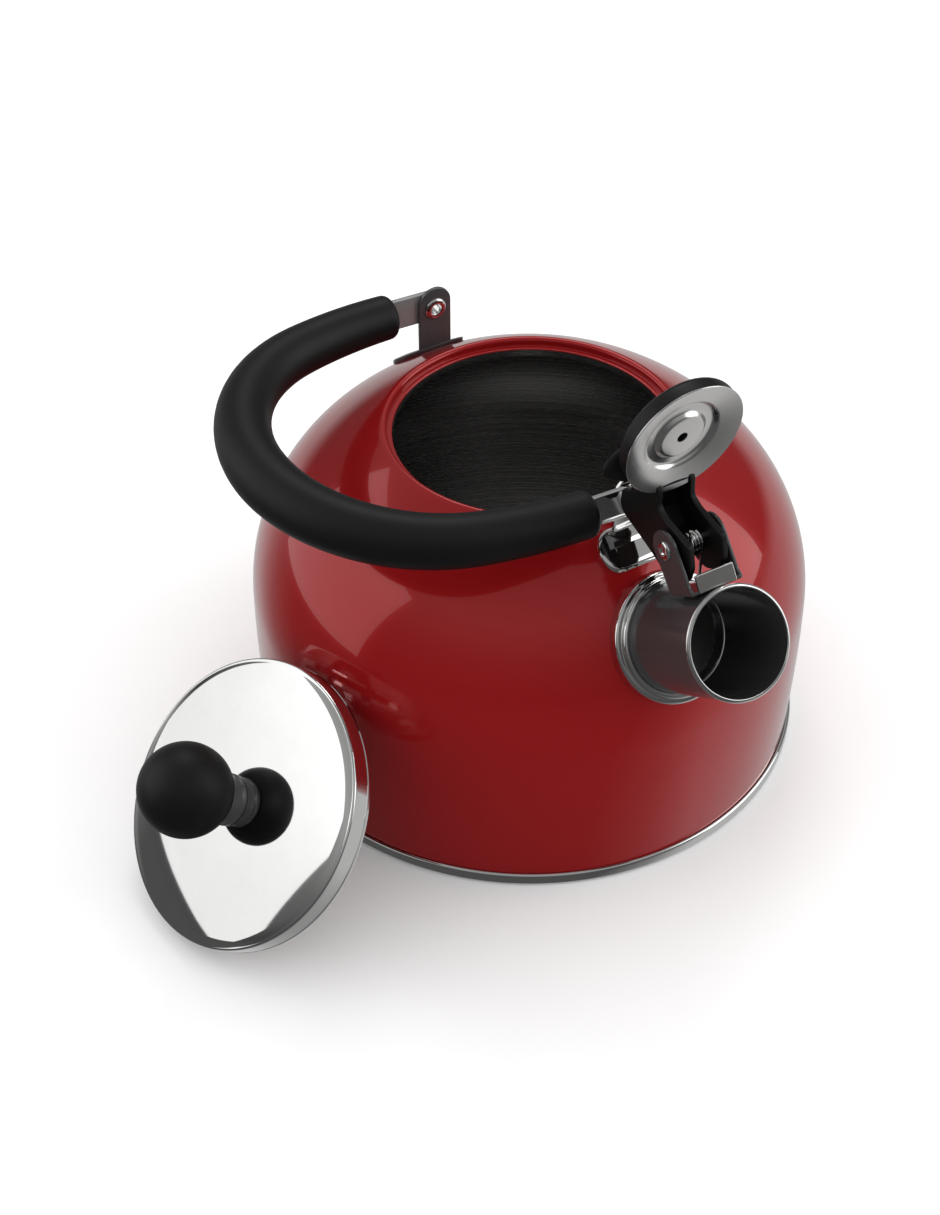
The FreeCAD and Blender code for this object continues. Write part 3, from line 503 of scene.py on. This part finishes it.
# The tube and the collar start this deep inside the body and are then cut to the dome.
BURIED = -60


def make_spout():
    """Spout tube with its rolled lip, a thin plated ring on its bore whose lighter steel is a
    painted highlight, and the stepped collar.
    """
    tube = [(TUBE_BORE, -0.5), (TUBE_BORE, BURIED), (TUBE_SKIN, BURIED), (TUBE_SKIN, -1.5)]
    lip_from = len(tube) - 1
    lip = [(TUBE_SKIN, -1.5), (19.05, -1.2), (19.05, -0.6), (18.5, 0), (17.8, 0)]
    tube += rounded(lip + [(TUBE_BORE, -0.4)], 0.3, 3, closed=False)
    looks = [TUBE, CHROME]
    made = lathe("spout_tube_drawn", tube, SPOUT, looks, "kettle_body", ["spout_tube"], lip_from)
    carve(made, dome_tool("tube_trim"))
    # Thin ring at the port edge on the bore. It stands for that edge, and its plated steel,
    # lighter than the tube, is a painted highlight.
    bead = arc(17.75, -39, 0.55, 90, 270, 8)
    lathe("spout_bore_highlight_ring", bead, SPOUT, PLATED, "kettle_body")
    collar = [(COLLAR_BORE, BURIED), (22.4, BURIED)]
    collar += arc(21.4, -41.2, 1.0, 0, 80, 6)
    collar += rounded([(20.9, -40.2), (20.4, -40.1), (20.4, -39.3)], 0.3, 3, closed=False)
    collar += arc(19.4, -39.0, 1.0, 0, 85, 6) + [(COLLAR_BORE, -38.1)]
    made = lathe("spout_flange_turned", collar, SPOUT, CHROME, "kettle_body", ["spout_flange"])
    carve(made, dome_tool("flange_trim"))


PIN_HOLE = 1.56
EAR_PLACE = 9.2
EAR_RADIUS = 6.8
EAR_THICK = 1.2
BRACKET_SHEET = 1.15
BRACKET_FRONT = -3.4
BRACKET_BACK = -17.2


def make_bracket():
    """Bracket on the spout (two ears, foot plate, front stop) and the pin through its ears."""
    ear = [(-19.0, BRACKET_FRONT), (-21.6, -4.6)]
    ear += arc(-PIN_RISE, -PIN_SETBACK, EAR_RADIUS, 90, 270, 20) + [(-19.0, BRACKET_BACK)]
    ear = rounded(ear, 0.6, 2)
    hole = [(-PIN_RISE, -PIN_SETBACK, PIN_HOLE)]
    for side, name in ((-1, "near"), (1, "far")):
        place = SPOUT @ moved(0, side * EAR_PLACE, 0) @ SIDE
        nodes = ["spout_bracket"] if side < 0 else []
        plate(f"bracket_ear_{name}", ear, EAR_THICK, place, TUBE, "kettle_body", nodes, hole, 0.3)
    foot = [(-9.7, BRACKET_BACK), (9.7, BRACKET_BACK), (9.7, BRACKET_FRONT), (-9.7, BRACKET_FRONT)]
    lying = SPOUT @ moved(-19.2, 0, 0) @ turned("Z", 90) @ turned("X", 90)
    foot = rounded(foot, 0.8)
    plate("bracket_foot", foot, BRACKET_SHEET, lying, TUBE, "kettle_body", edge=0.3)
    stop = rounded([(-7.2, -18.7), (7.2, -18.7), (7.2, -24.85), (-7.2, -24.85)], 0.7)
    facing = SPOUT @ moved(0, 0, BRACKET_FRONT) @ turned("Z", -90)
    plate("bracket_stop", stop, BRACKET_SHEET, facing, PLATED, "kettle_body", edge=0.35)
    # One domed head and half the shank, then the same mirrored.
    pin = [(0, -10.1), (1.1, -10.1), (1.5, -10.55), (2.2, -10.68), (2.9, -10.5), (3.25, -10.1)]
    pin += [(3.3, -9.83), (1.5, -9.83)]
    pin += [(radius, -height) for radius, height in pin[::-1]]
    place = PIN_PLACE @ SIDE
    lathe("hinge_pin", pin, place, CHROME, "kettle_body", ["whistle_hinge_pin"], steps=SMALL)


# ------------------------------------------------------------------ whistle
DISC_FRONT = -0.3
DISC_SHEET = 0.5
CAP_BACK = 6.7
CAP_WALL = 1.1
LEVER_WALL_PLACE = 6.25
LEVER_WALL_THICK = 2.2
LEVER_WEB_THICK = 11.0
PADDLE_HALVES = (7.7, 23.6, 3.1)
PADDLE_TILT = -28
PADDLE_PLACE = (-11.0, 0, 7.7)


def make_cap():
    """Pressed outer disc with its raised ring, in the shallow cap of the lever."""
    face = [(1.9, 1.6), (8.0, 1.6), (9.5, 3.4), (12.5, 3.4), (13.7, 2.0), (20.4, 0.25), (21.4, 0)]
    face = [(radius, DISC_FRONT + height) for radius, height in face]
    rim = [(21.6, DISC_FRONT + 0.15), (21.5, DISC_FRONT + 0.5)]
    back = [(radius, height + DISC_SHEET) for radius, height in face[-2::-1]]
    line = rounded(face, 0.7, 5, closed=False) + rim + back
    lathe("whistle_disc_pressed", line, WHISTLE, SATIN, "whistle", ["whistle_disc"])
    roof, edge_round = CAP_BACK - CAP_WALL, 3.4
    shell = [(2.9, CAP_BACK), (2.9, roof), (12.65, roof), (12.65, DISC_FRONT + 4.1)]
    shell += [(13.8, DISC_FRONT + 2.7), (21.1, DISC_FRONT + 0.75), (21.3, DISC_FRONT + 0.9)]
    shell += arc(17.9, CAP_BACK - edge_round, edge_round, 0, 90, 10)
    lathe("lever_cap", shell, WHISTLE, LEVER, "whistle", ["whistle_lever"])


def make_lever_arm():
    """Arm of the lever: two side walls, the web between them and the bosses on the pin."""
    wall = [(9.0, -8.2), (10.8, -2), (9.0, 6.2), (-4.9, 8.2), (-8.8, 10.2), (-9.0, 17.0)]
    wall += [(-13.2, 20.4), (-21.0, 18.2), (-23.2, 12.6), (-23.6, 7.4), (-28.6, 4.8)]
    wall += [(-29.3, -1.6), (-27.0, -4.3), (-12.0, -8.6), (-4.1, -11.4), (2.0, -12.0)]
    wall = rounded(wall, 1.6)
    hole = [(0, 0, PIN_HOLE)]
    for side, name in ((-1, "near"), (1, "far")):
        place = PIN_PLACE @ moved(0, side * LEVER_WALL_PLACE, 0) @ SIDE
        label = f"lever_wall_{name}"
        plate(label, wall, LEVER_WALL_THICK, place, LEVER, "whistle", holes=hole, edge=0.5)
    web = [(-9.8, -1.5), (-15.6, 3.0), (-15.0, 13.0), (-9.6, 16.6), (-13.2, 20.2), (-20.8, 18.0)]
    web += [(-22.4, 12.6), (-22.4, -5.6), (-12.0, -8.4), (-4.1, -11.2), (-2.6, -9.4), (-7.6, -6.0)]
    web = rounded(web, 0.8, 3)
    plate("lever_web", web, LEVER_WEB_THICK, PIN_PLACE @ SIDE, LEVER, "whistle", edge=0.2)
    boss = [(PIN_HOLE, 5.2), (4.6, 5.2), (4.6, 7.9), (4.2, 8.3), (PIN_HOLE, 8.3)]
    for turn, name in ((0, "near"), (180, "far")):
        place = PIN_PLACE @ SIDE @ turned("X", turn)
        lathe(f"lever_boss_{name}", boss, place, LEVER, "whistle", steps=SMALL)


def make_paddle():
    """Thumb paddle behind the cap: a ball pressed to a flat oval."""
    ball = [(0, -1)] + arc(0, 0, 1, -86, 86, 32) + [(0, 1)]
    pad = lathe("thumb_paddle", ball, HERE, LEVER, None, steps=64)
    stretch = Matrix.Diagonal((*PADDLE_HALVES, 1))
    pad.data.transform(WHISTLE @ moved(*PADDLE_PLACE) @ turned("Y", PADDLE_TILT) @ stretch)
    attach(pad, "whistle")


# ------------------------------------------------------------------ handle
GRIP_START = 16.7
GRIP_END_RADIUS = 7.98
GRIP_SWELL = 2.1
GRIP_LARGEST = 10.05
GRIP_END_ROUND = 2.6
# Runs of the grip away from each pivot: (bend radius, turn, steps). One more arc joins them.
GRIP_RUNS = ((160.0, 14.0, 14), (59.0, 33.4, 18))
STRAP_THICK = 2.0
STRAP_HALF_WIDTH = 6.0
RIVET_HOLE = 2.95


def handle_path():
    """Centre line of the grip in the handle's plane, end to end."""
    x, y, heading = HANDLE_SPAN, GRIP_START, 0.0
    half = [(x, y)]
    for radius, turn, steps in GRIP_RUNS:
        centre_x = x - math.cos(math.radians(heading)) * radius
        centre_y = y - math.sin(math.radians(heading)) * radius
        half += arc(centre_x, centre_y, radius, heading, heading + turn, steps)[1:]
        heading += turn
        x, y = half[-1]
    bow = x / math.cos(math.radians(heading))
    centre_y = y - bow * math.sin(math.radians(heading))
    half += arc(0, centre_y, bow, heading, 90, 24)[1:]
    return half + [(-x, y) for x, y in half[-2::-1]]


def grip_stations(total):
    """Distances along the grip of its rings, close together at the rounded ends."""
    marks = [GRIP_END_ROUND * (1 - math.cos(math.radians(a))) for a in range(0, 91, 10)]
    rings = 150
    inner = [GRIP_END_ROUND + (total - 2 * GRIP_END_ROUND) * i / rings for i in range(1, rings)]
    return marks + inner + [total - mark for mark in marks[::-1]]


def grip_radius(s, total):
    """Radius of the grip at a distance along it: thickest in the middle, rounded at the ends."""
    middle = 1 - abs(2 * s / total - 1)
    full = GRIP_END_RADIUS + GRIP_SWELL * middle * (2 - middle) ** 0.5
    rest = GRIP_END_ROUND - min(s, total - s, GRIP_END_ROUND)
    corner = GRIP_END_ROUND - math.sqrt(max(GRIP_END_ROUND**2 - rest**2, 0))
    return min(full, GRIP_LARGEST) - corner


def make_handle():
    """Moulded grip, and the strap's tongue that shows at each of its ends."""
    path = handle_path()
    lengths = [0.0]
    for a, b in zip(path, path[1:]):
        lengths.append(lengths[-1] + math.dist(a, b))
    total = lengths[-1]
    centres, radii = [], []
    for s in grip_stations(total):
        k = max(i for i, length in enumerate(lengths) if length <= s + 1e-9)
        k = min(k, len(path) - 2)
        share = (s - lengths[k]) / (lengths[k + 1] - lengths[k])
        centres.append(tuple(Vector(path[k]).lerp(Vector(path[k + 1]), share)))
        radii.append(grip_radius(s, total))
    sweep("grip_moulding", centres, radii, HANDLE, BLACK, "handle", ["handle_grip"])
    half = STRAP_HALF_WIDTH
    tongue = arc(0, 0, half, 180, 360, 20) + [(half, 24), (-half, 24)]
    hole = [(0, 0, RIVET_HOLE)]
    for side, name in ((1, "rear"), (-1, "front")):
        place = HANDLE @ moved(side * HANDLE_SPAN, 0, 0) @ turned("Y", 90)
        # The rear tongue takes the greyer steel as painted shade; the front one is chrome.
        nodes, look = (["handle_strap"], CHROME) if side < 0 else ([], SHADED_STRAP_STEEL)
        label = f"strap_tongue_{name}"
        plate(label, tongue, STRAP_THICK, place, look, "handle", nodes, hole, 0.35)


LUG_SHEET = 1.5
LUG_GAP = 0.25
LUG_HALF_WIDTH = 6.5
LUG_ROUND = 1.8
# The drawn lug is a little thinner than its solid, so that it stays inside it.
LUG_DRAWN = 1.45
# Foot: a stadium with this end radius and half the length of its straight sides.
FOOT_RADIUS = 6.0
FOOT_HALF_RUN = 8.0
FOOT_OUT = 5.6
# From the underside's edge up over the rounded rim and in across the top: (inset, lift).
FOOT_LAYERS = (
    (0.25, 0.0), (0.02, 0.3), (0.02, 1.1), (0.15, 1.35),
    (0.45, 1.46), (1.5, 1.48), (3.5, 1.48), (5.9, 1.48),
)


def make_bracket_foot(name, centre, look):
    """Stadium-shaped foot that follows the dome."""
    work = bmesh.new()
    rings = []
    for inset, lift in FOOT_LAYERS:
        radius = FOOT_RADIUS - inset
        line = arc(0, FOOT_HALF_RUN, radius, 0, 180, 20)
        line += arc(0, -FOOT_HALF_RUN, radius, 180, 360, 20)
        ring = []
        for x, y in line:
            height = dome_height(math.hypot(centre + x, y), lift)
            ring.append(work.verts.new(((centre + x) * MM, y * MM, height * MM)))
        rings.append(ring)
    for ring, other in zip(rings, rings[1:]):
        for i, vertex in enumerate(ring):
            j = (i + 1) % len(ring)
            work.faces.new((vertex, ring[j], other[j], other[i]))
    last = rings[-1]
    count = len(last)
    for i in range(count // 2 - 1):
        work.faces.new((last[i], last[i + 1], last[count - 2 - i], last[count - 1 - i]))
    finish_mesh(name, mesh_of(work, name), HERE, look, "kettle_body")


def make_handle_bracket(side, name, look):
    """Upright lug with its foot on the dome, and the hollow rivet through it."""
    middle = PIVOT_SHIFT + side * (HANDLE_SPAN - STRAP_THICK / 2 - LUG_GAP - LUG_SHEET / 2)
    bottom = dome_height(abs(middle)) - PIVOT_HEIGHT - 0.6
    half = LUG_HALF_WIDTH
    outline = [(-half, bottom), (half, bottom), (half, LUG_ROUND)]
    outline += arc(0, LUG_ROUND, half, 0, 180, 20)[1:]
    place = moved(middle, 0, PIVOT_HEIGHT) @ turned("Z", 90) @ turned("X", 90)
    label, hole = f"{name}_handle_bracket", [(0, 0, RIVET_HOLE)]
    plate(f"{label}_lug", outline, LUG_DRAWN, place, look, "kettle_body", [label], hole, 0.35)
    centre = middle - side * LUG_SHEET / 2 + side * FOOT_OUT
    make_bracket_foot(f"{label}_foot", centre, look)
    # Rolled head inside the lug, shank through lug and strap, rolled head outside the strap.
    rivet = [(2.1, -4.6), (2.3, -4.75), (3.2, -4.78), (3.9, -4.5), (4.2, -4.1), (4.2, -3.79)]
    rivet += [(2.9, -3.79), (2.9, 0.04), (4.2, 0.04), (4.2, 0.4), (3.9, 0.8), (3.2, 1.0)]
    rivet += [(2.3, 0.95), (2.1, 0.8)]
    outer_face = HANDLE_SPAN + STRAP_THICK / 2
    out = moved(PIVOT_SHIFT + side * outer_face, 0, PIVOT_HEIGHT) @ turned("Y", 90 * side)
    label = f"{name}_handle_rivet"
    lathe(f"{label}_rolled", rivet, out, CHROME, "kettle_body", [label], steps=SMALL)


# ------------------------------------------------------------------ lid
LID_DOME = 194.02
LID_TOP = 14.7
LID_SHEET = 0.8
BAND = 49.8
SCREW_HOLE = 2.1
STEM_RADIUS = 9.0
STEM_WAIST = 8.5
STEM_TOP = 22.2
KNOB_RADIUS = 16.15
KNOB_CENTRE = 35.2
KNOB_SEAT_RADIUS = 9.4
KNOB_SOCKET_TOP = 39.2


def lid_height(radius):
    """Height of the lid's outside at a radius."""
    return LID_TOP - LID_DOME + math.sqrt(LID_DOME**2 - radius**2)


def make_lid():
    """Domed lid with its straight band, the collar on it and the ball on that."""
    reaches = (SCREW_HOLE, 6, 12, 18, 24, 30, 36, 42, 46, 48.2)
    top = [(radius, lid_height(radius)) for radius in reaches]
    edge = rounded([(48.4, 8.5), (BAND, 8.2), (BAND, 6.6)], 1.2, 8, closed=False)
    bead = [(BAND, 1.7), (49.5, 1.45), (49.5, 1.25), (BAND, 1.0), (49.7, 0.1), (49.1, 0.05)]
    under = [(49.0, 6.4), (48.0, 7.6)]
    under += [(radius, height - LID_SHEET) for radius, height in top[-2::-1]]
    profile = top + edge + bead + under
    lathe("lid_dome", profile, LID, CHROME, "lid", ["lid_shell"], steps=192)
    base = lid_height(STEM_RADIUS)
    stem = [(SCREW_HOLE, base + 0.35), (8.9, base + 0.05), (STEM_RADIUS, base + 1.2)]
    stem += [(STEM_WAIST, base + 1.8), (STEM_WAIST, 19.4), (STEM_RADIUS, 19.8)]
    stem = rounded(stem + [(STEM_RADIUS, STEM_TOP), (SCREW_HOLE, STEM_TOP)], 0.3, 2)
    lathe("stem_collar", stem, LID, DARK_STEEL_AND_SHADE, "lid", ["knob_stem"], steps=96)
    start = -math.degrees(math.acos(KNOB_SEAT_RADIUS / KNOB_RADIUS))
    knob = [(SCREW_HOLE, KNOB_CENTRE + KNOB_RADIUS * math.sin(math.radians(start)))]
    knob += arc(0, KNOB_CENTRE, KNOB_RADIUS, start + 1, 89, 48)
    knob += [(0, KNOB_CENTRE + KNOB_RADIUS), (0, KNOB_SOCKET_TOP), (SCREW_HOLE, KNOB_SOCKET_TOP)]
    lathe("knob_ball", knob, LID, BLACK, "lid", ["lid_knob"], steps=96)


# ------------------------------------------------------------------ stage, light, camera
def soft_box(name, place, aim, size, power):
    """Rectangular light that points at a place."""
    data = bpy.data.lights.new(name, "AREA")
    data.shape = "RECTANGLE"
    data.size, data.size_y = size
    data.energy = power
    lamp = bpy.data.objects.new(name, data)
    bpy.context.scene.collection.objects.link(lamp)
    lamp.location = place
    lamp.rotation_euler = (Vector(aim) - Vector(place)).to_track_quat("-Z", "Y").to_euler()


def make_stage():
    """Plain pale floor; it ends before the lights do, so that it is lit evenly."""
    reach = 1.2
    corners = [(-reach, -reach, 0), (reach, -reach, 0), (reach, reach, 0), (-reach, reach, 0)]
    mesh = bpy.data.meshes.new("floor")
    mesh.from_pydata(corners, [], [(0, 1, 2, 3)])
    floor = bpy.data.objects.new("floor", mesh)
    bpy.context.scene.collection.objects.link(floor)
    made, tree, shader = material("floor_paper")
    grain = noise(tree, object_coordinates(tree), 30.0)
    colour = tint(tree, grain, (0.92, 0.92, 0.92), (0.94, 0.94, 0.94))
    tree.links.new(colour, shader.inputs["Base Color"])
    shader.inputs["Roughness"].default_value = 0.9
    shader.inputs["Specular IOR Level"].default_value = 0.1
    mesh.materials.append(made)
    floor.visible_glossy = False


# What metal mirrors, as grey levels: below the horizon by direction, above it by height.
DARK_WAY = (0.45, -0.89, 0)
LOW_TONES = ((0, 0.55), (0.5, 0.25), (1, 0.09))
HIGH_TONES = ((0, 0.06), (0.35, 0.16), (0.7, 0.42), (1, 0.30))
HORIZON = ((0, 0.0), (1, 1.0))


def world_ramp(tree, value, low, high, stops):
    """Grey level that follows stops while a value runs from low to high."""
    spread = tree.nodes.new("ShaderNodeMapRange")
    spread.inputs["From Min"].default_value = low
    spread.inputs["From Max"].default_value = high
    tree.links.new(value, spread.inputs["Value"])
    ramp = tree.nodes.new("ShaderNodeValToRGB")
    for place, _ in stops[1:-1]:
        ramp.color_ramp.elements.new(place)
    for stop, (_, tone) in zip(ramp.color_ramp.elements, stops):
        stop.color = (tone, tone, tone, 1)
    tree.links.new(spread.outputs["Result"], ramp.inputs["Fac"])
    return ramp.outputs["Color"]


def make_world():
    """White studio for the eye and for soft light; what metal mirrors has a dark side."""
    world = bpy.data.worlds.new("studio")
    bpy.context.scene.world = world
    world.use_nodes = True
    tree = world.node_tree
    rays = tree.nodes.new("ShaderNodeLightPath")
    where = tree.nodes.new("ShaderNodeTexCoord")
    way = where.outputs["Generated"]
    split = tree.nodes.new("ShaderNodeSeparateXYZ")
    tree.links.new(way, split.inputs["Vector"])
    toward = tree.nodes.new("ShaderNodeVectorMath")
    toward.operation = "DOT_PRODUCT"
    toward.inputs[1].default_value = DARK_WAY
    tree.links.new(way, toward.inputs[0])
    low = world_ramp(tree, toward.outputs["Value"], -0.25, 0.3, LOW_TONES)
    high = world_ramp(tree, split.outputs["Z"], 0.0, 1.0, HIGH_TONES)
    side = world_ramp(tree, split.outputs["Z"], -0.12, 0.02, HORIZON)
    mirror = tree.nodes.new("ShaderNodeMixRGB")
    tree.links.new(side, mirror.inputs["Fac"])
    tree.links.new(low, mirror.inputs["Color1"])
    tree.links.new(high, mirror.inputs["Color2"])
    choose = tree.nodes.new("ShaderNodeMixRGB")
    choose.inputs["Color1"].default_value = (1.0, 1.0, 1.0, 1)
    tree.links.new(rays.outputs["Is Glossy Ray"], choose.inputs["Fac"])
    tree.links.new(mirror.outputs["Color"], choose.inputs["Color2"])
    tree.links.new(choose.outputs["Color"], tree.nodes["Background"].inputs["Color"])


CAMERA_LENS = 72.35
CAMERA_PLACE = (0.5729, -0.3669, 0.6319)
CAMERA_AIM = (0.0262, -0.0405, 0.0800)


def make_camera():
    """Camera that looks down on the spout's side of the kettle."""
    data = bpy.data.cameras.new("camera")
    data.lens = CAMERA_LENS
    camera = bpy.data.objects.new("camera", data)
    bpy.context.scene.collection.objects.link(camera)
    camera.location = CAMERA_PLACE
    sight = Vector(CAMERA_AIM) - camera.location
    camera.rotation_euler = sight.to_track_quat("-Z", "Y").to_euler()
    bpy.context.scene.camera = camera


make_body()
make_spout()
make_bracket()
make_cap()
make_lever_arm()
make_paddle()
make_handle()
make_handle_bracket(1, "front", CHROME)
# The rear bracket is chrome like the front one; its dark steel is painted shade for the far side.
make_handle_bracket(-1, "rear", DARK_STEEL_AND_SHADE)
make_lid()
# Small pieces that show as they are in the CAD model take only a material.
CAD_LOOKS = {
    "whistle_spring": CHROME,
    "whistle_inner_disc": DARK_STEEL_AND_SHADE,
    "lid_seat_ring": CHROME,
    "lid_washer": PLATED,
    "knob_screw": PLATED,
}
for node_name, look in CAD_LOOKS.items():
    node = NODES[node_name]
    node.data.materials.clear()
    node.data.materials.append(look)

make_stage()
make_world()
soft_box("left_box", (-0.88, -1.30, 0.62), (0, -0.05, 0.08), size=(1.8, 1.5), power=9)
soft_box("right_box", (0.75, 1.25, 0.75), (0, 0, 0.08), size=(1.3, 1.4), power=10)
soft_box("back_box", (-1.0, 0.6, 1.6), (0, 0, 0.08), size=(0.7, 0.5), power=5)
make_camera()
bpy.context.scene.view_settings.view_transform = "Standard"
